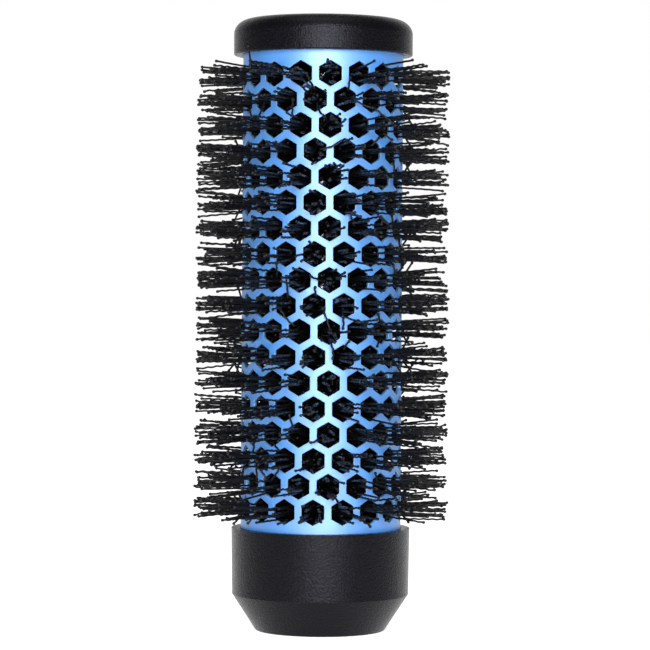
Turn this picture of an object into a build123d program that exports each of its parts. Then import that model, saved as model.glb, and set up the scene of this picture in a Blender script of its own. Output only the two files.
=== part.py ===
from build123d import *
import math
import os

# Hair roller: a perforated metal barrel with a twisted-wire brush inside it.
# The filaments stand out through the six-sided holes of the barrel. A moulded
# cap closes the top, and a moulded collar and socket at the base take the
# plug of a detachable handle.
#
# Frame: millimetres, +Z up along the barrel, origin at the centre of the foot.
# The front of the roller faces -Y.

# ---------------------------------------------------------------- dimensions
# Overall
overall_height = 137.0
barrel_diameter = 36.0
barrel_wall = 0.8

# Moulded ends
collar_height = 22.95
cap_height = 8.0
cap_overhang = 2.1            # cap outside, beyond the barrel
cap_shoulder_width = 3.75
cap_shoulder_height = 3.3
cap_lip_fillet = 0.3
cap_roof = 3.0
cap_pocket_depth = 4.5        # how far the barrel goes up into the cap
collar_overhang = 2.03        # collar outside at its rim, beyond the barrel
collar_draft = 0.21           # how much the collar narrows down to its shoulder
collar_shoulder_height = 8.15
collar_shoulder_blend = 4.0
collar_rim_fillet = 0.6
collar_pocket_depth = 9.55    # how far the barrel goes down into the collar
foot_inset = 3.5              # foot edge, inside the barrel's outside
foot_fillet = 0.55
mould_wall = 2.0
collar_ledge_width = 2.5

# Holes of the barrel
hole_rows = 18
holes_per_row = 17
hole_across_flats = 4.97
hole_margin_base = 4.68       # lowest row's centre above the collar's rim
hole_margin_top = 5.18        # highest row's centre below the cap's lip
front_turn = 5.14             # the top row's front hole, turned from -Y

# Brush
bristle_reach = 10.3          # tips beyond the barrel
tuft_tip_radius = 2.4         # tuft radii are to the flats of its six sides
tuft_root_radius = 0.35
wire_diameter = 2.4
twist_pitch = 12.0
ferrule_wall = 0.6
ferrule_length = 5.2

# Socket for the handle
handle_bore_diameter = 15.0
handle_bore_recess = 0.5
bore_end_wall = 1.645         # between the bore's end and the ferrule's pocket
handle_bore_chamfer = 0.6
sleeve_wall = 1.95
flange_thickness = 2.4
key_slot_count = 4
key_slot_width = 2.0
key_slot_depth = 1.0
catch_groove_width = 2.2
catch_groove_depth = 0.8
catch_groove_from_mouth = 10.0

# Spigots inside the barrel's ends, and the ribs that stiffen them
spigot_wall = 1.6
spigot_lead_in = 0.4
rib_count = 6
rib_thickness = 1.2
rib_drop = 2.2                # ribs stop this far below the spigot's end
barrel_key_count = 3
barrel_key_width = 3.0
barrel_key_height = 3.4
cap_boss_wall = 1.8

# Clearances of the fits
barrel_fit = 0.15             # barrel to cap, collar and spigots
seat_fit = 0.05               # faces that seat on each other
sleeve_fit = 0.1              # sleeve in the collar's mouth
key_fit = 0.15                # barrel keys in their notches
ferrule_fit = 0.05            # ferrules on the core and in their pockets
wire_fit = 0.1                # between the two wires
root_fit = 0.3                # tuft roots to the core
hole_fit = 0.45               # tufts in the holes
row_fit = 1.2                 # moulded ends to the nearest tufts

# ------------------------------------------------------------ derived places
barrel_radius = barrel_diameter / 2
barrel_inside = barrel_radius - barrel_wall
pocket_radius = barrel_radius + barrel_fit
spigot_radius = barrel_inside - barrel_fit

cap_lip_z = overall_height - cap_height
cap_radius = barrel_radius + cap_overhang
collar_rim_radius = barrel_radius + collar_overhang
collar_shoulder_radius = collar_rim_radius - collar_draft
foot_radius = barrel_radius - foot_inset

barrel_base_z = collar_height - collar_pocket_depth
barrel_top_z = cap_lip_z + cap_pocket_depth
barrel_length = barrel_top_z - barrel_base_z
flange_top_z = barrel_base_z - seat_fit
flange_base_z = flange_top_z - flange_thickness
collar_ledge_z = flange_base_z - seat_fit

bottom_row_z = collar_height + hole_margin_base
top_row_z = cap_lip_z - hole_margin_top
row_pitch = (top_row_z - bottom_row_z) / (hole_rows - 1)
hole_step = 360 / holes_per_row
hole_corner_radius = hole_across_flats / 2 / math.cos(math.radians(30))

tuft_hole_radius = hole_across_flats / 2 - hole_fit
wire_radius = wire_diameter / 2
wire_orbit = wire_radius + wire_fit / 2
core_radius = wire_orbit + wire_radius
ferrule_inside = core_radius + ferrule_fit
ferrule_radius = ferrule_inside + ferrule_wall
ferrule_pocket_radius = ferrule_radius + ferrule_fit
tuft_root_place = core_radius + root_fit
tuft_tip_place = barrel_radius + bristle_reach

# The moulded ends stop short of the nearest tufts, which fan out to this half
# height where they pass the barrel.
base_end_z = bottom_row_z - tuft_hole_radius - row_fit
cap_end_z = top_row_z + tuft_hole_radius + row_fit

handle_bore_radius = handle_bore_diameter / 2
sleeve_radius = handle_bore_radius + sleeve_wall
collar_mouth_radius = sleeve_radius + sleeve_fit

cap_ceiling_z = overall_height - cap_roof
base_ferrule_top_z = base_end_z
base_ferrule_z = base_ferrule_top_z - ferrule_length
handle_bore_end_z = base_ferrule_z - seat_fit - bore_end_wall
handle_bore_depth = handle_bore_end_z - handle_bore_recess
top_ferrule_z = cap_end_z
top_ferrule_end_z = top_ferrule_z + ferrule_length
cap_boss_radius = ferrule_pocket_radius + cap_boss_wall
# The wires run at a slant, so their square ends reach past their centre lines.
twist_slope = math.atan2(2 * math.pi * wire_orbit, twist_pitch)
wire_end_reach = wire_radius * math.sin(twist_slope)
core_base_z = base_ferrule_z + wire_end_reach
core_length = top_ferrule_end_z - wire_end_reach - core_base_z


def row_height(row):
    """Height of a row of holes, counted from 1 at the base."""
    return bottom_row_z + (row - 1) * row_pitch


def row_turn(row):
    """Polar angle of a row's front hole; every second row is half a step on."""
    rows_from_top = hole_rows - row
    stagger = -hole_step / 2 if rows_from_top % 2 else 0
    return -90 + front_turn + stagger


def finish(piece, name):
    """Label a piece and write it to its own file."""
    piece.part.label = name
    export_step(piece.part, f"parts/{name}.step")


os.makedirs("parts", exist_ok=True)

# -------------------------------------------------------------------- barrel
# One six-sided hole, pointing along +X, with a corner at the top and bottom.
with BuildPart() as hole_cutter:
    with BuildSketch(Plane.YZ.offset(barrel_inside - barrel_wall)):
        RegularPolygon(hole_corner_radius, 6, rotation=30)
    extrude(amount=3 * barrel_wall)

# One notch in the lower end, which a key of the socket fits.
with BuildPart() as notch_cutter:
    with BuildSketch(Plane.XY.offset(barrel_base_z - barrel_wall)):
        with Locations((barrel_radius, 0)):
            Rectangle(4 * barrel_wall, barrel_key_width)
    extrude(amount=barrel_wall + barrel_key_height)

hole_places = []
for row in range(1, hole_rows + 1):
    for hole in range(holes_per_row):
        turn = row_turn(row) + hole * hole_step
        hole_places.append(Location((0, 0, row_height(row)), (0, 0, turn)))

with BuildPart() as barrel:
    with BuildSketch(Plane.XY.offset(barrel_base_z)):
        Circle(barrel_radius)
        Circle(barrel_inside, mode=Mode.SUBTRACT)
    extrude(amount=barrel_length)
    with Locations(*hole_places):
        add(hole_cutter.part, mode=Mode.SUBTRACT)
    with PolarLocations(0, barrel_key_count):
        add(notch_cutter.part, mode=Mode.SUBTRACT)
finish(barrel, "barrel")

# ------------------------------------------------------------------- top cap
with BuildPart() as top_cap:
    with BuildSketch(Plane.XZ):
        with BuildLine():
            crown = Line((0, overall_height), (cap_radius - cap_shoulder_width, overall_height))
            shoulder = EllipticalCenterArc(
                (cap_radius - cap_shoulder_width, overall_height - cap_shoulder_height),
                cap_shoulder_width,
                cap_shoulder_height,
                arc_size=90,
            )
            Polyline(
                shoulder @ 0,
                (cap_radius, cap_lip_z),
                (pocket_radius, cap_lip_z),
                (pocket_radius, barrel_top_z + seat_fit),
                (spigot_radius, barrel_top_z + seat_fit),
                (spigot_radius, cap_end_z + spigot_lead_in),
                (spigot_radius - spigot_lead_in, cap_end_z),
                (spigot_radius - spigot_wall, cap_end_z),
                (spigot_radius - spigot_wall, cap_ceiling_z),
                (cap_boss_radius, cap_ceiling_z),
                (cap_boss_radius, cap_end_z),
                (ferrule_pocket_radius, cap_end_z),
                (ferrule_pocket_radius, top_ferrule_end_z + seat_fit),
                (0, top_ferrule_end_z + seat_fit),
                crown @ 0,
            )
        make_face()
        lip_corner = vertices().group_by(Axis.X)[-1].sort_by(Axis.Y)[0]
        fillet(lip_corner, cap_lip_fillet)
    revolve(axis=Axis.Z)
    # Ribs between the boss and the spigot, under the roof
    with BuildSketch(Plane.XY.offset(cap_ceiling_z)):
        with PolarLocations(0, rib_count):
            with Locations(((cap_boss_radius + spigot_radius - spigot_wall) / 2, 0)):
                Rectangle(spigot_radius - spigot_wall - cap_boss_radius + 1, rib_thickness)
    extrude(amount=-(cap_ceiling_z - cap_end_z - rib_drop))
finish(top_cap, "top_cap")

# --------------------------------------------------------------- base collar
foot_slope = (collar_shoulder_radius - foot_radius) / collar_shoulder_height
slope_wall = mould_wall * math.hypot(1, foot_slope)
cavity_radius = pocket_radius - collar_ledge_width
cavity_floor_radius = foot_radius + foot_slope * mould_wall - slope_wall
cavity_knee_z = (cavity_radius + slope_wall - foot_radius) / foot_slope

with BuildPart() as base_collar:
    with BuildSketch(Plane.XZ):
        with BuildLine():
            Polyline(
                (collar_mouth_radius, 0),
                (foot_radius, 0),
                (collar_shoulder_radius, collar_shoulder_height),
                (collar_rim_radius, collar_height),
                (pocket_radius, collar_height),
                (pocket_radius, collar_ledge_z),
                (cavity_radius, collar_ledge_z),
                (cavity_radius, cavity_knee_z),
                (cavity_floor_radius, mould_wall),
                (collar_mouth_radius, mould_wall),
                close=True,
            )
        make_face()
        foot_corner = vertices().group_by(Axis.Y)[0].sort_by(Axis.X)[-1]
        shoulder_corner, rim_corner = vertices().sort_by(Axis.X)[-2:]
        fillet(foot_corner, foot_fillet)
        fillet(shoulder_corner, collar_shoulder_blend)
        fillet(rim_corner, collar_rim_fillet)
    revolve(axis=Axis.Z)
finish(base_collar, "base_collar")

# ------------------------------------------------------------- handle socket
with BuildPart() as handle_socket:
    with BuildSketch(Plane.XZ):
        with BuildLine():
            Polyline(
                (handle_bore_radius + handle_bore_chamfer, handle_bore_recess),
                (sleeve_radius, handle_bore_recess),
                (sleeve_radius, flange_base_z),
                (barrel_radius, flange_base_z),
                (barrel_radius, flange_top_z),
                (spigot_radius, flange_top_z),
                (spigot_radius, base_end_z - spigot_lead_in),
                (spigot_radius - spigot_lead_in, base_end_z),
                (spigot_radius - spigot_wall, base_end_z),
                (spigot_radius - spigot_wall, flange_top_z),
                (sleeve_radius, flange_top_z),
                (sleeve_radius, base_end_z),
                (ferrule_pocket_radius, base_end_z),
                (ferrule_pocket_radius, base_ferrule_z - seat_fit),
                (0, base_ferrule_z - seat_fit),
                (0, handle_bore_end_z),
                (handle_bore_radius, handle_bore_end_z),
                (handle_bore_radius, handle_bore_recess + handle_bore_chamfer),
                close=True,
            )
        make_face()
    revolve(axis=Axis.Z)
    # Ribs between the sleeve and the spigot
    with BuildSketch(Plane.XY.offset(flange_top_z)):
        with PolarLocations(0, rib_count, start_angle=180 / rib_count):
            with Locations(((sleeve_radius + spigot_radius - spigot_wall) / 2, 0)):
                Rectangle(spigot_radius - spigot_wall - sleeve_radius + 1, rib_thickness)
    extrude(amount=base_end_z - flange_top_z - rib_drop)
    # Keys that fit the notches of the barrel
    with BuildSketch(Plane.XY.offset(flange_top_z)):
        with PolarLocations(0, barrel_key_count):
            with Locations((barrel_radius - barrel_wall, 0)):
                Rectangle(2 * barrel_wall, barrel_key_width - 2 * key_fit)
    extrude(amount=barrel_key_height - key_fit)
    # Slots along the bore, for the keys of the handle's plug
    with BuildSketch(Plane.XY.offset(handle_bore_recess)):
        with PolarLocations(0, key_slot_count, start_angle=180 / key_slot_count):
            with Locations((handle_bore_radius, 0)):
                Rectangle(2 * key_slot_depth, key_slot_width)
    extrude(amount=handle_bore_depth, mode=Mode.SUBTRACT)
    # Groove that the handle's catch snaps into
    with BuildSketch(Plane.XY.offset(handle_bore_recess + catch_groove_from_mouth - catch_groove_width / 2)):
        Circle(handle_bore_radius + catch_groove_depth)
    extrude(amount=catch_groove_width, mode=Mode.SUBTRACT)
finish(handle_socket, "handle_socket")

# ---------------------------------------------------------------- wire core
with BuildPart() as core_wire_a:
    with BuildLine() as wire_path:
        Helix(twist_pitch, core_length, wire_orbit, center=(0, 0, core_base_z))
    with BuildSketch(wire_path.line ^ 0):
        Circle(wire_radius)
    sweep(is_frenet=True)
finish(core_wire_a, "core_wire_a")

with BuildPart() as core_wire_b:
    add(core_wire_a.part, rotation=(0, 0, 180))
finish(core_wire_b, "core_wire_b")

with BuildPart() as core_ferrule_base:
    with BuildSketch(Plane.XY.offset(base_ferrule_z)):
        Circle(ferrule_radius)
        Circle(ferrule_inside, mode=Mode.SUBTRACT)
    extrude(amount=ferrule_length)
finish(core_ferrule_base, "core_ferrule_base")

with BuildPart() as core_ferrule_top:
    with BuildSketch(Plane.XY.offset(top_ferrule_z)):
        Circle(ferrule_radius)
        Circle(ferrule_inside, mode=Mode.SUBTRACT)
    extrude(amount=ferrule_length)
finish(core_ferrule_top, "core_ferrule_top")

# -------------------------------------------------------------- bristle rows
# The filaments of one hole as one six-sided solid, pointing along +X: thin
# where they leave the core, as wide as the hole allows at the barrel, fanned
# out at the tips. It is what three slabs of that outline share.
with BuildPart() as tuft:
    for slab_turn in (0, 60, 120):
        with BuildSketch(Plane.XY.rotated((slab_turn, 0, 0))):
            with BuildLine():
                Polyline(
                    (tuft_root_place, -tuft_root_radius),
                    (barrel_radius, -tuft_hole_radius),
                    (tuft_tip_place, -tuft_tip_radius),
                    (tuft_tip_place, tuft_tip_radius),
                    (barrel_radius, tuft_hole_radius),
                    (tuft_root_place, tuft_root_radius),
                    close=True,
                )
            make_face()
        extrude(amount=2 * tuft_tip_radius, both=True, mode=Mode.INTERSECT if slab_turn else Mode.ADD)

for row in range(1, hole_rows + 1):
    with BuildPart() as bristle_row:
        with Locations((0, 0, row_height(row))):
            with PolarLocations(0, holes_per_row, start_angle=row_turn(row)):
                add(tuft.part)
    finish(bristle_row, f"bristle_row_{row:02d}")
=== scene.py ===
"""Hair roller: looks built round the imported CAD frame. Metres, +Z up, front towards -Y."""

import math

import bmesh
import bpy
import numpy as np
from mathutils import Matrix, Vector


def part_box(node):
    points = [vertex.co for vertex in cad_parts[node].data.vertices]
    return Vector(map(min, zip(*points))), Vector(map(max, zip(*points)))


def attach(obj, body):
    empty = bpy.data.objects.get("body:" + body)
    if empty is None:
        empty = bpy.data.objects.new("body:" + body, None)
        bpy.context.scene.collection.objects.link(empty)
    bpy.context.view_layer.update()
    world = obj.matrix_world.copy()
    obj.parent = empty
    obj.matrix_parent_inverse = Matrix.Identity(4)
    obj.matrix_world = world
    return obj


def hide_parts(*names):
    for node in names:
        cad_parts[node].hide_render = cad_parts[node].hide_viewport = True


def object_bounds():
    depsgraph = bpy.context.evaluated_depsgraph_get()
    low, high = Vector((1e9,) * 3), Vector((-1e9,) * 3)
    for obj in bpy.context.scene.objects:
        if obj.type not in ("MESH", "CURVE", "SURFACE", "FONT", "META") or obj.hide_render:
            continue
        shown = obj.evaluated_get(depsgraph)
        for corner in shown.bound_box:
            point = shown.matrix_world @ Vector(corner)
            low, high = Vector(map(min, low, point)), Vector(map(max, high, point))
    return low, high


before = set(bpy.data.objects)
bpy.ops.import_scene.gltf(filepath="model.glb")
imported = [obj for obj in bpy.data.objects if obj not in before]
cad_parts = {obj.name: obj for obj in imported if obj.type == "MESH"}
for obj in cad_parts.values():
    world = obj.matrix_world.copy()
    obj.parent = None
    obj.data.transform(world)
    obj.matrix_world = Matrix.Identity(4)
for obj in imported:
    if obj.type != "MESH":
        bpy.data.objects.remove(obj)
cad_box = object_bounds()

MM = 0.001
RANDOM = np.random.default_rng(36)

# ------------------------------------------------------------ places from the frame
BARREL_LOW, BARREL_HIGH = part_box("barrel")
BARREL_RADIUS = BARREL_HIGH.x
CORE_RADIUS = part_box("core_wire_a")[1].x
ROWS = sorted(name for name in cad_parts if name.startswith("bristle_row_"))
BOX_MARGIN = 0.1 * MM
TIP_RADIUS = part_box(ROWS[0])[1].y - BOX_MARGIN
TUFT_END_DEPTH = 0.5 * MM       # points this near the furthest one belong to the ends of the CAD tufts

# ------------------------------------------------------------ barrel sizes
BARREL_WALL = 0.8 * MM
BARREL_INSIDE = BARREL_RADIUS - BARREL_WALL             # the inner wall's radius
HOLES_PER_ROW = 17
HALF_STEP = math.pi * BARREL_RADIUS / HOLES_PER_ROW     # half the way to the next hole of the row
HOLE_ACROSS_FLATS = 4.97 * MM
EDGE_ROUND = 0.12 * MM
EDGE_MARGIN = 1.8 * EDGE_ROUND  # flat wall begins this far from an edge
INNER_EDGE_WEAR = 0.4           # how much the inner edge of a hole counts as a cut edge
CELL_SIDE_STEPS = 4             # faces along each side of a hole
END_BAND_START = 0.95           # the plain bands begin this share of the row pitch past the last row
WELD = 0.003 * MM               # points of neighbouring patches that are joined

# ------------------------------------------------------------ filament sizes
FILAMENT_RADIUS = 0.235 * MM
BALL_RADIUS = 0.37 * MM
BALL_END = 0.97 * math.pi       # a ball's last ring, as an angle from its pole at the neck
TUBE_SIDES = 6
TUBE_GUIDE = (0.13, 0.07, 1.0)  # a direction that no filament runs along, to turn its rings from
BALL_RINGS = 5
INNER_RINGS = 11                # between the core and the wall
OUTER_RINGS = 34                # from the wall to the tip
HIDDEN_RINGS = 12
CORE_START = 0.6 * CORE_RADIUS  # filaments start between the core's wires
WALL_START = 1.2 * MM           # the closer rings start this far inside the wall

CRIMP_WAVE = 2.0 * MM
CRIMP_HEIGHT = 0.09 * MM
CRIMP_WAVE_RANGE = (0.9, 1.1)
CRIMP_HEIGHT_RANGE = (0.7, 1.2)
SWAY_WAVE = 9 * MM              # a slower wave under the crimp
SWAY_HEIGHT = 0.12 * MM

FEWEST, MOST = 7, 12            # filaments that pass through one hole
HIDDEN_PER_HOLE = 11            # filaments that find no hole and stay inside
STRAY_SHARE = 0.07              # filaments caught by the hole's edge and bent over the barrel
SHORT_SHARE = 0.22
BUNCHED_SHARE = 0.35

HOLE_CLEAR = 0.36 * MM          # filament's centre line to the hole's edge
HOLE_REACH = 0.55 * HOLE_ACROSS_FLATS   # places in the hole are tried this far from its middle
BUNCH_PLACE = 0.8 * MM          # spread of the bunches' middles
BUNCH_SPREAD = 0.7 * MM         # spread of the filaments about them
ROOT_ACROSS = 1.6 * MM          # how far from its place in the hole a filament may start
ROOT_UP = 1.8 * MM
GATHER_START = 11 * MM          # from here out, filaments are drawn together towards their hole

TIP_INSIDE = 0.3 * MM           # before their balls, the longest end this far inside the tips' radius
TIP_RAGGED = 0.5 * MM
SHORT_BY = (0.8 * MM, 6.5 * MM)
TIP_FAN = 0.22                  # how much further apart the tips are than the filaments in the hole
LEAN_ACROSS, LEAN_UP = 0.45 * MM, 0.35 * MM     # spread of the tips by a straight lean
CURL_ACROSS, CURL_UP = 0.4 * MM, 0.25 * MM      # and by a curl

HIDDEN_SHORT_BY = (0.9 * MM, 5.5 * MM)
HIDDEN_CURL = 1.1 * MM
HIDDEN_CURL_POWER = 4           # the curl comes close to the filament's end

STRAY_OFF_MIDDLE = 0.2 * HOLE_ACROSS_FLATS      # strays pass at least this far from the hole's middle
STRAY_WAY = 0.5                 # spread of their direction, in radians
STRAY_LENGTH = (1.4 * MM, 4.4 * MM)
STRAY_TILT = (50, 80)           # degrees from straight out
STRAY_BEND = 1.0 * MM

# ------------------------------------------------------------ material values
# Noise is in cells per metre. A stretch below 1 along Z draws its cells out that way.
NOISE_LOW, NOISE_HIGH = 0.3, 0.7        # where most of a noise's values lie
EVEN = (1, 1, 1)

BLUE = (0.012, 0.29, 0.90)
BLUE_PALER = (0.02, 0.33, 0.95)
BLUE_AT_EDGE = (0.20, 0.50, 0.90)
ANODISED_METALLIC = 0.3
ANODISED_ROUGHNESS = (0.53, 0.60)
COAT_ROUGHNESS = 0.52
COAT_IOR = 2.5
CLOUD_CELLS = 90
DRAWN_CELLS, DRAWN_STRETCH = 2400, (1, 1, 0.06)
DRAWN_DEPTH, DRAWN_STRENGTH = 0.004 * MM, 0.5

PLASTIC_IOR = 1.5
PLASTIC_SPECULAR = 0.15
PLASTIC_TINT = (0.84, 0.84, 1.0)
PLASTIC_ROUGHNESS = (0.2, 0.34)
GRAIN_CELLS = 2600
BLOTCH_CELLS = 260
GRAINED_DEPTH = 0.12 * MM
GRAINED_DARK, GRAINED_LIGHT = (0.002, 0.002, 0.0028), (0.004, 0.004, 0.0055)
PLAIN_DEPTH = 0.008 * MM
PLAIN_DARK, PLAIN_LIGHT = (0.012, 0.012, 0.013), (0.018, 0.018, 0.02)

NYLON_IOR = 1.53
NYLON_SPECULAR = 0.25
NYLON_ROUGHNESS = (0.3, 0.5)
NYLON_BROWNISH, NYLON_BLUISH = (0.004, 0.0035, 0.003), (0.008, 0.008, 0.010)
STREAK_CELLS = 1500

SCRATCH_CELLS, SCRATCH_STRETCH = 3000, (1, 1, 0.1)
SCRATCH_DEPTH, SCRATCH_STRENGTH = 0.01 * MM, 0.4
SCRATCH_DARKER = 0.7
SCRATCH_ROUGHNESS = 0.08        # more and less than the steel's own
WIRE_COLOUR, WIRE_ROUGHNESS = (0.55, 0.55, 0.57), 0.32
FERRULE_COLOUR, FERRULE_ROUGHNESS = (0.62, 0.61, 0.6), 0.28

# ------------------------------------------------------------ studio values
FLOOR_WHITE = (0.86, 0.86, 0.86)
FLOOR_LIFT = 0.8                # brings the lit floor up to the white backdrop
FLOOR_HALF = 3.0                # half the floor's width
FLOOR_Z = -0.03 * MM            # just clear of the foot, so that the two faces don't flicker

FILL_LIGHT = 0.3                # the world as a lamp, against 1 as a backdrop
ROOM_IN_REFLECTIONS = 0.12      # the room in front of the object, against 1 for the backdrop behind it
BACKDROP_START, BACKDROP_FULL = 0.5, 0.95       # how far towards +Y a direction points

# Lamps in metres and watts
FRONT_PLACE, FRONT_SIZE, FRONT_POWER = (0.05, -1.3, 0.16), (0.95, 1.1), 35
TOP_PLACE, TOP_SIZE, TOP_POWER = (0, -0.3, 1.2), (0.9, 0.9), 4

CAMERA_PLACE = (0, -0.6346, 0.07806)
CAMERA_ROLL = -0.36             # degrees
CAMERA_LENS, CAMERA_SENSOR = 156.2, 36          # millimetres
CAMERA_SHIFT = (0.0047, -0.0657)


# ------------------------------------------------------------ the pattern of holes
def row_height(name):
    """Height of a row of holes: the middle of its tufts."""
    low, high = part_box(name)
    return (low.z + high.z) / 2


def row_turn(name):
    """Angle of one hole of a row, from the tips of its CAD tufts, which repeat HOLES_PER_ROW times."""
    points = np.array([v.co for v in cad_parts[name].data.vertices])
    reach = np.hypot(points[:, 0], points[:, 1])
    tips = points[reach > reach.max() - TUFT_END_DEPTH]
    angles = np.arctan2(tips[:, 1], tips[:, 0])
    return np.angle(np.exp(1j * HOLES_PER_ROW * angles).mean()) / HOLES_PER_ROW


def hole_turns(name):
    """Angles of all the holes of a row."""
    return [TURNS[name] + 2 * math.pi * hole / HOLES_PER_ROW for hole in range(HOLES_PER_ROW)]


HEIGHTS = {name: row_height(name) for name in ROWS}
TURNS = {name: row_turn(name) for name in ROWS}
ROW_PITCH = (HEIGHTS[ROWS[-1]] - HEIGHTS[ROWS[0]]) / (len(ROWS) - 1)


# ------------------------------------------------------------ node helpers
def new_material(name):
    """A material, its node tree and its shader."""
    material = bpy.data.materials.new(name)
    material.use_nodes = True
    tree = material.node_tree
    return material, tree, tree.nodes["Principled BSDF"]


def object_noise(tree, cells, detail=2.0, stretch=EVEN):
    """Noise that is fixed to the object, in cells per metre."""
    place = tree.nodes.new("ShaderNodeTexCoord")
    mapping = tree.nodes.new("ShaderNodeMapping")
    mapping.inputs["Scale"].default_value = stretch
    noise = tree.nodes.new("ShaderNodeTexNoise")
    noise.inputs["Scale"].default_value = cells
    noise.inputs["Detail"].default_value = detail
    tree.links.new(place.outputs["Object"], mapping.inputs["Vector"])
    tree.links.new(mapping.outputs["Vector"], noise.inputs["Vector"])
    return noise.outputs["Fac"]


def remap(tree, value, source, result):
    """Stretches a value from one range, (low, high), over another, and holds it there."""
    node = tree.nodes.new("ShaderNodeMapRange")
    node.inputs["From Min"].default_value = source[0]
    node.inputs["From Max"].default_value = source[1]
    node.inputs["To Min"].default_value = result[0]
    node.inputs["To Max"].default_value = result[1]
    tree.links.new(value, node.inputs["Value"])
    return node.outputs["Result"]


def noisy_roughness(tree, shader, noise, roughness):
    """Lets the roughness run over a range, (low, high), with the noise."""
    tree.links.new(remap(tree, noise, (NOISE_LOW, NOISE_HIGH), roughness), shader.inputs["Roughness"])


def two_tone(tree, value, first, second):
    """A colour that runs from first to second as value goes from 0 to 1."""
    mix = tree.nodes.new("ShaderNodeMix")
    mix.data_type = "RGBA"
    mix.inputs["A"].default_value = (*first, 1)
    mix.inputs["B"].default_value = (*second, 1)
    tree.links.new(value, mix.inputs["Factor"])
    return mix


def point_value(tree, name):
    """A value that the mesh holds for each of its points."""
    attribute = tree.nodes.new("ShaderNodeAttribute")
    attribute.attribute_name = name
    return attribute.outputs["Fac"]


def add_bump(tree, shader, height, distance, strength=1.0):
    """Bumps the surface by a height from 0 to 1."""
    bump = tree.nodes.new("ShaderNodeBump")
    bump.inputs["Distance"].default_value = distance
    bump.inputs["Strength"].default_value = strength
    tree.links.new(height, bump.inputs["Height"])
    tree.links.new(bump.outputs["Normal"], shader.inputs["Normal"])


def larger(tree, first, second):
    """The larger of two values."""
    node = tree.nodes.new("ShaderNodeMath")
    node.operation = "MAXIMUM"
    tree.links.new(first, node.inputs[0])
    tree.links.new(second, node.inputs[1])
    return node.outputs["Value"]


def mirrored_rays(tree, path):
    """One for rays that a mirror or clear surface sends on, so that reflections show the backdrop too."""
    return larger(tree, path.outputs["Is Glossy Ray"], path.outputs["Is Transmission Ray"])


# ------------------------------------------------------------ materials
def anodised_material():
    """Blue dye in a clear oxide skin over satin aluminium, a little paler at the cut edges."""
    material, tree, shader = new_material("anodised_blue")
    shader.inputs["Metallic"].default_value = ANODISED_METALLIC
    shader.inputs["Coat Weight"].default_value = 1.0
    shader.inputs["Coat Roughness"].default_value = COAT_ROUGHNESS
    shader.inputs["Coat IOR"].default_value = COAT_IOR
    blue = two_tone(tree, object_noise(tree, CLOUD_CELLS, 3), BLUE, BLUE_PALER)
    worn = two_tone(tree, point_value(tree, "cut_edge"), BLUE, BLUE_AT_EDGE)
    tree.links.new(blue.outputs["Result"], worn.inputs["A"])
    tree.links.new(worn.outputs["Result"], shader.inputs["Base Color"])
    drawn = object_noise(tree, DRAWN_CELLS, 2, DRAWN_STRETCH)
    noisy_roughness(tree, shader, drawn, ANODISED_ROUGHNESS)
    add_bump(tree, shader, drawn, DRAWN_DEPTH, DRAWN_STRENGTH)
    return material


def moulding_material(name, grain_depth, dark, light):
    """Black plastic with the fine spark-eroded grain of its mould."""
    material, tree, shader = new_material(name)
    shader.inputs["IOR"].default_value = PLASTIC_IOR
    shader.inputs["Specular IOR Level"].default_value = PLASTIC_SPECULAR
    shader.inputs["Specular Tint"].default_value = (*PLASTIC_TINT, 1)
    grain = object_noise(tree, GRAIN_CELLS)
    colour = two_tone(tree, object_noise(tree, BLOTCH_CELLS, 3), dark, light)
    tree.links.new(colour.outputs["Result"], shader.inputs["Base Color"])
    noisy_roughness(tree, shader, grain, PLASTIC_ROUGHNESS)
    add_bump(tree, shader, grain, grain_depth)
    return material


def nylon_material():
    """Black nylon, a little browner or bluer from filament to filament."""
    material, tree, shader = new_material("black_nylon")
    shader.inputs["IOR"].default_value = NYLON_IOR
    shader.inputs["Specular IOR Level"].default_value = NYLON_SPECULAR
    colour = two_tone(tree, point_value(tree, "filament_tint"), NYLON_BROWNISH, NYLON_BLUISH)
    tree.links.new(colour.outputs["Result"], shader.inputs["Base Color"])
    noisy_roughness(tree, shader, object_noise(tree, STREAK_CELLS), NYLON_ROUGHNESS)
    return material


def steel_material(name, colour, roughness):
    """Drawn steel with fine scratches along it."""
    material, tree, shader = new_material(name)
    shader.inputs["Metallic"].default_value = 1.0
    scratch = object_noise(tree, SCRATCH_CELLS, 2, SCRATCH_STRETCH)
    darker = tuple(SCRATCH_DARKER * c for c in colour)
    scratched = two_tone(tree, scratch, darker, colour)
    tree.links.new(scratched.outputs["Result"], shader.inputs["Base Color"])
    noisy_roughness(tree, shader, scratch, (roughness - SCRATCH_ROUGHNESS, roughness + SCRATCH_ROUGHNESS))
    add_bump(tree, shader, scratch, SCRATCH_DEPTH, SCRATCH_STRENGTH)
    return material


def floor_material():
    """Matt white. Camera rays and reflections get a little more, so that it meets the white backdrop."""
    material, tree, shader = new_material("studio_floor")
    shader.inputs["Base Color"].default_value = (*FLOOR_WHITE, 1)
    shader.inputs["Roughness"].default_value = 1.0
    shader.inputs["Specular IOR Level"].default_value = 0.0
    shader.inputs["Emission Color"].default_value = (1, 1, 1, 1)
    path = tree.nodes.new("ShaderNodeLightPath")
    lift = tree.nodes.new("ShaderNodeMath")
    lift.operation = "MULTIPLY"
    lift.inputs[1].default_value = FLOOR_LIFT
    tree.links.new(larger(tree, path.outputs["Is Camera Ray"], mirrored_rays(tree, path)), lift.inputs[0])
    tree.links.new(lift.outputs["Value"], shader.inputs["Emission Strength"])
    return material


def dress(obj, material):
    """Gives every face of an object one material."""
    obj.data.materials.clear()
    obj.data.materials.append(material)
    obj.data.polygons.foreach_set("material_index", np.zeros(len(obj.data.polygons), np.int32))


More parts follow.
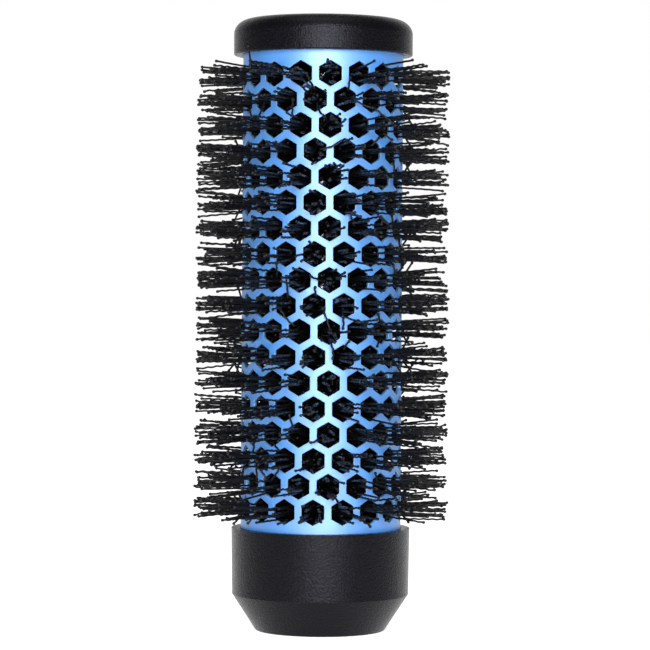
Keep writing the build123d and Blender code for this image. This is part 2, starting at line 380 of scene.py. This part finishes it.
# ------------------------------------------------------------ mesh helpers
def mesh_object(name, points, quads):
    """A smooth mesh object from arrays of points and four-cornered faces."""
    mesh = bpy.data.meshes.new(name)
    mesh.vertices.add(len(points))
    mesh.vertices.foreach_set("co", np.asarray(points, np.float32).ravel())
    mesh.loops.add(quads.size)
    mesh.loops.foreach_set("vertex_index", quads.ravel().astype(np.int32))
    mesh.polygons.add(len(quads))
    mesh.polygons.foreach_set("loop_start", np.arange(0, quads.size, 4, dtype=np.int32))
    mesh.polygons.foreach_set("use_smooth", np.full(len(quads), True))
    mesh.update(calc_edges=True)
    mesh.validate()
    obj = bpy.data.objects.new(name, mesh)
    bpy.context.scene.collection.objects.link(obj)
    return obj


def float_attribute(obj, name, values):
    """Gives each point of a mesh a value that its material can read."""
    layer = obj.data.attributes.new(name, "FLOAT", "POINT")
    layer.data.foreach_set("value", np.asarray(values, np.float32))


class RingMesh:
    """Points and faces of a shell that is built ring by ring round the Z axis."""

    def __init__(self):
        self.points, self.wear, self.quads = [], [], []

    def add_ring(self, angles, heights, radius, edge=0.0):
        """Adds points at one radius, and gives their numbers."""
        start = len(self.points)
        for angle, height in zip(angles, heights):
            self.points.append((radius * math.cos(angle), radius * math.sin(angle), height))
            self.wear.append(edge)
        return range(start, len(self.points))

    def join(self, rings, closed):
        """Adds the faces between each ring and the next."""
        count = len(rings[0])
        for first, second in zip(rings, rings[1:]):
            for i in range(count if closed else count - 1):
                j = (i + 1) % count
                self.quads.append((first[i], second[i], second[j], first[j]))


# ------------------------------------------------------------ barrel
def subdivided(corners):
    """Points round a closed outline, CELL_SIDE_STEPS to each side."""
    points = []
    for start, end in zip(corners, np.roll(corners, -1, axis=0)):
        for step in range(CELL_SIDE_STEPS):
            points.append(start + (end - start) * step / CELL_SIDE_STEPS)
    return np.array(points)


def cell_outline():
    """The patch of wall round one hole, as (round the barrel, up), from the staggered pattern."""
    peak = (HALF_STEP**2 + ROW_PITCH**2) / (2 * ROW_PITCH)
    side = (ROW_PITCH**2 - HALF_STEP**2) / (2 * ROW_PITCH)
    corners = [(HALF_STEP, side), (0, peak), (-HALF_STEP, side)]
    corners += [(-HALF_STEP, -side), (0, -peak), (HALF_STEP, -side)]
    return subdivided(np.array(corners))


def hole_outline(grow):
    """The six-sided hole, a corner up and down, grown all round."""
    half = HOLE_ACROSS_FLATS / 2 + grow
    corner = half / math.cos(math.pi / 6)
    corners = [(half, corner / 2), (0, corner), (-half, corner / 2)]
    corners += [(-half, -corner / 2), (0, -corner), (half, -corner / 2)]
    return subdivided(np.array(corners))


def edge_step(turn):
    """A point of the rounded edge: how far it is outside the hole and below the wall's face."""
    angle = math.radians(turn)
    return EDGE_ROUND * (1 - math.sin(angle)), EDGE_ROUND * (1 - math.cos(angle))


def hole_levels():
    """Rings from the outer wall, over the rounded edge and through the hole, to the inner wall.
    Each is (growth of the hole, radius, how much it is a cut edge)."""
    levels = [(EDGE_MARGIN, BARREL_RADIUS, 0.0)]
    for turn in (0, 30, 60, 90):
        out, down = edge_step(turn)
        levels.append((out, BARREL_RADIUS - down, math.sin(math.radians(2 * min(turn, 45)))))
    for turn in (90, 45, 0):
        out, down = edge_step(turn)
        levels.append((out, BARREL_INSIDE + down, INNER_EDGE_WEAR))
    levels.append((EDGE_MARGIN, BARREL_INSIDE, 0.0))
    return levels


def add_hole_patch(shell, centre, height, cell, levels):
    """One cell of the wall with its hole."""
    angles = centre + cell[:, 0] / BARREL_RADIUS
    rings = [shell.add_ring(angles, height + cell[:, 1], BARREL_RADIUS)]
    for grow, radius, edge in levels:
        outline = hole_outline(grow)
        turned = centre + np.arcsin(outline[:, 0] / radius)
        rings.append(shell.add_ring(turned, height + outline[:, 1], radius, edge))
    rings.append(shell.add_ring(angles, height + cell[:, 1], BARREL_INSIDE))
    shell.join(rings, closed=True)


def add_end_band(shell, name, first_step, end_z, way, cell):
    """The plain band between the last row's zigzag and an end of the barrel, with rounded corners."""
    steps = [(first_step + i) % len(cell) for i in range(2 * CELL_SIDE_STEPS + 1)]
    flat = np.ones(len(steps))
    zigzag = HEIGHTS[name] + cell[steps, 1]
    clear = (HEIGHTS[name] + way * END_BAND_START * ROW_PITCH) * flat
    profile = [
        (zigzag, BARREL_RADIUS),
        (clear, BARREL_RADIUS),
        ((end_z - way * EDGE_MARGIN) * flat, BARREL_RADIUS),
        ((end_z - way * EDGE_ROUND) * flat, BARREL_RADIUS),
        (end_z * flat, BARREL_RADIUS - EDGE_ROUND),
        (end_z * flat, BARREL_INSIDE + EDGE_ROUND),
        ((end_z - way * EDGE_ROUND) * flat, BARREL_INSIDE),
        (clear, BARREL_INSIDE),
        (zigzag, BARREL_INSIDE),
    ]
    for centre in hole_turns(name):
        angles = centre + cell[steps, 0] / BARREL_RADIUS
        shell.join([shell.add_ring(angles, heights, radius) for heights, radius in profile], closed=False)


def make_barrel(material):
    """The barrel's wall with its holes, as one welded mesh."""
    cell = cell_outline()
    levels = hole_levels()
    shell = RingMesh()
    for name in ROWS:
        for centre in hole_turns(name):
            add_hole_patch(shell, centre, HEIGHTS[name], cell, levels)
    add_end_band(shell, ROWS[-1], 0, BARREL_HIGH.z, 1, cell)
    add_end_band(shell, ROWS[0], 3 * CELL_SIDE_STEPS, BARREL_LOW.z, -1, cell)
    barrel = mesh_object("barrel_shell", shell.points, np.array(shell.quads))
    float_attribute(barrel, "cut_edge", shell.wear)
    work = bmesh.new()
    work.from_mesh(barrel.data)
    bmesh.ops.remove_doubles(work, verts=work.verts, dist=WELD)
    bmesh.ops.recalc_face_normals(work, faces=work.faces)
    work.to_mesh(barrel.data)
    work.free()
    dress(barrel, material)
    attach(barrel, "root")
    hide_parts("barrel")


# ------------------------------------------------------------ bristles
# A filament's centre line has (out, across, up) columns: along the hole's axis, round the barrel, and up.
def inside_hole(across, up):
    """Whether a place in the hole's plane is clear of its six sides."""
    half = HOLE_ACROSS_FLATS / 2 - HOLE_CLEAR
    slant = abs(across) / 2 + abs(up) * math.sqrt(3) / 2
    return abs(across) <= half and slant <= half


def pick_in_hole(bunch):
    """A place where a filament passes through its hole. Bunched filaments keep together."""
    while True:
        if RANDOM.random() < BUNCHED_SHARE:
            across, up = bunch + RANDOM.normal(0, BUNCH_SPREAD, 2)
        else:
            across, up = RANDOM.uniform(-HOLE_REACH, HOLE_REACH, 2)
        if inside_hole(across, up):
            return across, up


def pick_root(across, up):
    """Where on the core a filament starts, counted at the wall, before it is drawn into its hole."""
    root_across = across + RANDOM.uniform(-ROOT_ACROSS, ROOT_ACROSS)
    root_up = up + RANDOM.uniform(-ROOT_UP, ROOT_UP)
    return root_across, root_up


def crimp(run):
    """Side-to-side waves along a filament, for two directions across it."""
    phase, turn = RANDOM.uniform(0, 2 * math.pi, 2)
    wave = CRIMP_WAVE * RANDOM.uniform(*CRIMP_WAVE_RANGE)
    height = CRIMP_HEIGHT * RANDOM.uniform(*CRIMP_HEIGHT_RANGE)
    short = height * np.sin(2 * math.pi * run / wave + phase)
    sway_phase = RANDOM.uniform(0, 2 * math.pi)
    sway = RANDOM.normal(0, SWAY_HEIGHT) * np.sin(2 * math.pi * run / SWAY_WAVE + sway_phase)
    return short * math.cos(turn) + sway, short * math.sin(turn)


def gather(out, root, place):
    """Runs from root to place as a filament nears the wall, smoothly."""
    share = ((out - GATHER_START) / (BARREL_RADIUS - GATHER_START)).clip(0, 1)
    return root + (place - root) * share * share * (3 - 2 * share)


def hidden_filament():
    """A filament that finds no hole: it stays inside the barrel, short of the wall, and curls at its end."""
    across = RANDOM.uniform(-HALF_STEP, HALF_STEP)
    up = RANDOM.uniform(-0.5, 0.5) * ROW_PITCH
    reach = BARREL_INSIDE - RANDOM.uniform(*HIDDEN_SHORT_BY)
    out = np.linspace(CORE_START, reach, HIDDEN_RINGS)
    curled = (out / reach) ** HIDDEN_CURL_POWER
    wave_across, wave_up = crimp(out)
    line_across = across * out / BARREL_RADIUS + RANDOM.normal(0, HIDDEN_CURL) * curled + wave_across
    line_up = up + RANDOM.normal(0, HIDDEN_CURL) * curled + wave_up
    return np.stack([out, line_across, line_up], axis=1)


def straight_filament(bunch):
    """A filament from the core, through its hole, to a tip at about the tips' radius or short of it."""
    across, up = pick_in_hole(bunch)
    root_across, root_up = pick_root(across, up)
    reach = TIP_RADIUS - TIP_INSIDE - abs(RANDOM.normal(0, TIP_RAGGED))
    if RANDOM.random() < SHORT_SHARE:
        reach -= RANDOM.uniform(*SHORT_BY)
    out = np.concatenate([
        np.linspace(CORE_START, BARREL_RADIUS - WALL_START, INNER_RINGS, endpoint=False),
        np.linspace(BARREL_RADIUS - WALL_START, reach, OUTER_RINGS),
    ])
    past = (out - BARREL_RADIUS).clip(0) / (TIP_RADIUS - BARREL_RADIUS)
    line_across = gather(out, root_across, across) * out / BARREL_RADIUS
    line_across += RANDOM.normal(0, LEAN_ACROSS) * past + RANDOM.normal(0, CURL_ACROSS) * past**2
    line_up = gather(out, root_up, up)
    line_up += (TIP_FAN * up + RANDOM.normal(0, LEAN_UP)) * past + RANDOM.normal(0, CURL_UP) * past**2
    wave_across, wave_up = crimp(out)
    return np.stack([out, line_across + wave_across, line_up + wave_up], axis=1)


def stray_filament(bunch):
    """A filament that the hole's edge has bent over, so that its end lies just above the barrel."""
    across, up = pick_in_hole(bunch)
    while math.hypot(across, up) < STRAY_OFF_MIDDLE:
        across, up = pick_in_hole(bunch)
    way = math.atan2(up, across) + RANDOM.normal(0, STRAY_WAY)
    length = RANDOM.uniform(*STRAY_LENGTH)
    tilt = math.radians(RANDOM.uniform(*STRAY_TILT))
    root_across, root_up = pick_root(across, up)
    inner = np.linspace(CORE_START, BARREL_RADIUS, INNER_RINGS, endpoint=False)
    # Straight out for half of STRAY_BEND, then round the bend and on at the tilt
    run = np.linspace(0, length + STRAY_BEND, OUTER_RINGS)
    leaning = (run - STRAY_BEND / 2).clip(0)
    outer = BARREL_RADIUS + run.clip(0, STRAY_BEND / 2) + leaning * math.cos(tilt)
    out = np.concatenate([inner, outer])
    along = np.concatenate([np.zeros(INNER_RINGS), leaning * math.sin(tilt)])
    wave, _ = crimp(out + along)
    spread = (out / BARREL_RADIUS).clip(0, 1)
    line_across = gather(out, root_across, across) * spread + along * math.cos(way) - wave * math.sin(way)
    line_up = gather(out, root_up, up) + along * math.sin(way) + wave * math.cos(way)
    # The end follows the barrel round, so it drops away with it
    drop = np.hypot(BARREL_RADIUS, line_across) - BARREL_RADIUS
    return np.stack([out - drop, line_across, line_up], axis=1)


def ball_tip():
    """The rings of a ball tip: (radius, step beyond the filament's end)."""
    neck = math.asin(FILAMENT_RADIUS / BALL_RADIUS)
    turns = np.linspace(neck, BALL_END, BALL_RINGS + 1)[1:]
    return BALL_RADIUS * np.sin(turns), BALL_RADIUS * (math.cos(neck) - np.cos(turns))


def unit(vectors):
    """Vectors of length one."""
    return vectors / np.linalg.norm(vectors, axis=-1, keepdims=True)


def tubes(lines, tints):
    """Closed tubes with ball tips along centre lines of equal length: points, quads and tints."""
    tip_radii, tip_steps = ball_tip()
    ahead = unit(lines[:, -1] - lines[:, -2])
    tips = lines[:, -1:, :] + tip_steps[:, None] * ahead[:, None, :]
    radii = np.concatenate([np.full(lines.shape[1], FILAMENT_RADIUS), tip_radii])
    lines = np.concatenate([lines, tips], axis=1)
    along = unit(np.gradient(lines, axis=1))
    first = unit(np.cross(along, np.array(TUBE_GUIDE)))
    second = np.cross(along, first)
    spin = (2 * math.pi * np.arange(TUBE_SIDES) / TUBE_SIDES)[None, None, :, None]
    ring = np.cos(spin) * first[:, :, None, :] + np.sin(spin) * second[:, :, None, :]
    points = lines[:, :, None, :] + radii[None, :, None, None] * ring
    filaments, rings = points.shape[:2]
    index = np.arange(filaments * rings * TUBE_SIDES).reshape(filaments, rings, TUBE_SIDES)
    turned = np.roll(index, -1, axis=2)
    sides = np.stack([index[:, :-1], index[:, 1:], turned[:, 1:], turned[:, :-1]], axis=-1).reshape(-1, 4)
    # Each six-sided end is two quads
    start, end = index[:, 0], index[:, -1]
    caps = [start[:, [0, 1, 2, 3]], start[:, [0, 3, 4, 5]], end[:, [3, 2, 1, 0]], end[:, [5, 4, 3, 0]]]
    quads = np.concatenate([sides, *caps])
    return points.reshape(-1, 3), quads, np.repeat(tints, rings * TUBE_SIDES)


def placed(line, turn, height):
    """A centre line's (out, across, up) columns as points in space, at a hole."""
    outward = np.array([math.cos(turn), math.sin(turn), 0])
    sideways = np.array([-math.sin(turn), math.cos(turn), 0])
    path = line[:, :1] * outward + line[:, 1:2] * sideways
    path[:, 2] = height + line[:, 2]
    return path


def make_bristle_row(name, material):
    """All the filaments of one row of holes, with those that stay inside the barrel."""
    shown, hidden = [], []
    for turn in hole_turns(name):
        bunch = RANDOM.normal(0, BUNCH_PLACE, 2)
        for _ in range(RANDOM.integers(FEWEST, MOST + 1)):
            stray = RANDOM.random() < STRAY_SHARE
            line = stray_filament(bunch) if stray else straight_filament(bunch)
            shown.append(placed(line, turn, HEIGHTS[name]))
        for _ in range(HIDDEN_PER_HOLE):
            hidden.append(placed(hidden_filament(), turn, HEIGHTS[name]))
    points, quads, tints = tubes(np.array(shown), RANDOM.random(len(shown)))
    more_points, more_quads, more_tints = tubes(np.array(hidden), RANDOM.random(len(hidden)))
    all_points = np.concatenate([points, more_points])
    all_quads = np.concatenate([quads, more_quads + len(points)])
    row = mesh_object(name.replace("bristle_row", "filaments"), all_points, all_quads)
    float_attribute(row, "filament_tint", np.concatenate([tints, more_tints]))
    dress(row, material)
    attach(row, "root")
    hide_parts(name)


# ------------------------------------------------------------ carried-over CAD nodes
def dress_cad_nodes():
    """Finishes for the pieces whose CAD shape is shown as it is."""
    grained = moulding_material("black_grained_plastic", GRAINED_DEPTH, GRAINED_DARK, GRAINED_LIGHT)
    plain = moulding_material("black_plain_plastic", PLAIN_DEPTH, PLAIN_DARK, PLAIN_LIGHT)
    wire = steel_material("wire_steel", WIRE_COLOUR, WIRE_ROUGHNESS)
    ferrule = steel_material("ferrule_steel", FERRULE_COLOUR, FERRULE_ROUGHNESS)
    finishes = {
        "top_cap": grained,
        "base_collar": grained,
        "handle_socket": plain,
        "core_wire_a": wire,
        "core_wire_b": wire,
        "core_ferrule_base": ferrule,
        "core_ferrule_top": ferrule,
    }
    for node, material in finishes.items():
        dress(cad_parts[node], material)


# ------------------------------------------------------------ studio
def make_floor():
    """A wide matt floor."""
    corners = [(-1, -1), (1, -1), (1, 1), (-1, 1)]
    points = [(FLOOR_HALF * x, FLOOR_HALF * y, FLOOR_Z) for x, y in corners]
    floor = mesh_object("studio_floor", points, np.array([[0, 1, 2, 3]]))
    dress(floor, floor_material())


def make_world():
    """White to the camera, white behind and grey in front in reflections, and softer as fill light."""
    world = bpy.data.worlds.new("studio")
    bpy.context.scene.world = world
    world.use_nodes = True
    tree = world.node_tree
    background = tree.nodes["Background"]
    background.inputs["Color"].default_value = (1, 1, 1, 1)
    direction = tree.nodes.new("ShaderNodeTexCoord")
    parts = tree.nodes.new("ShaderNodeSeparateXYZ")
    tree.links.new(direction.outputs["Generated"], parts.inputs["Vector"])
    backdrop = (BACKDROP_START, BACKDROP_FULL)
    room = remap(tree, parts.outputs["Y"], backdrop, (ROOM_IN_REFLECTIONS, 1.0))
    path = tree.nodes.new("ShaderNodeLightPath")
    reflected = tree.nodes.new("ShaderNodeMix")
    reflected.inputs["A"].default_value = FILL_LIGHT
    tree.links.new(mirrored_rays(tree, path), reflected.inputs["Factor"])
    tree.links.new(room, reflected.inputs["B"])
    seen = larger(tree, reflected.outputs["Result"], path.outputs["Is Camera Ray"])
    tree.links.new(seen, background.inputs["Strength"])


def area_light(name, place, size, watts):
    """A softbox that points at the middle of the object."""
    middle = Vector((0, 0, cad_box[1][2] / 2))
    data = bpy.data.lights.new(name, "AREA")
    data.shape = "RECTANGLE"
    data.size, data.size_y = size
    data.energy = watts
    light = bpy.data.objects.new(name, data)
    light.location = place
    light.rotation_euler = (middle - Vector(place)).to_track_quat("-Z", "Y").to_euler()
    bpy.context.scene.collection.objects.link(light)


def make_camera():
    """A level view from the front."""
    data = bpy.data.cameras.new("camera")
    data.sensor_width = CAMERA_SENSOR
    data.lens = CAMERA_LENS
    data.shift_x, data.shift_y = CAMERA_SHIFT
    camera = bpy.data.objects.new("camera", data)
    camera.location = CAMERA_PLACE
    camera.rotation_mode = "XYZ"
    camera.rotation_euler = (math.radians(90), math.radians(CAMERA_ROLL), 0)
    bpy.context.scene.collection.objects.link(camera)
    bpy.context.scene.camera = camera


# ------------------------------------------------------------ making
make_camera()
make_world()
area_light("front_softbox", FRONT_PLACE, FRONT_SIZE, FRONT_POWER)
area_light("top_softbox", TOP_PLACE, TOP_SIZE, TOP_POWER)
make_floor()
dress_cad_nodes()
make_barrel(anodised_material())
nylon = nylon_material()
for row_name in ROWS:
    make_bristle_row(row_name, nylon)

scene = bpy.context.scene
scene.view_settings.view_transform = "Standard"
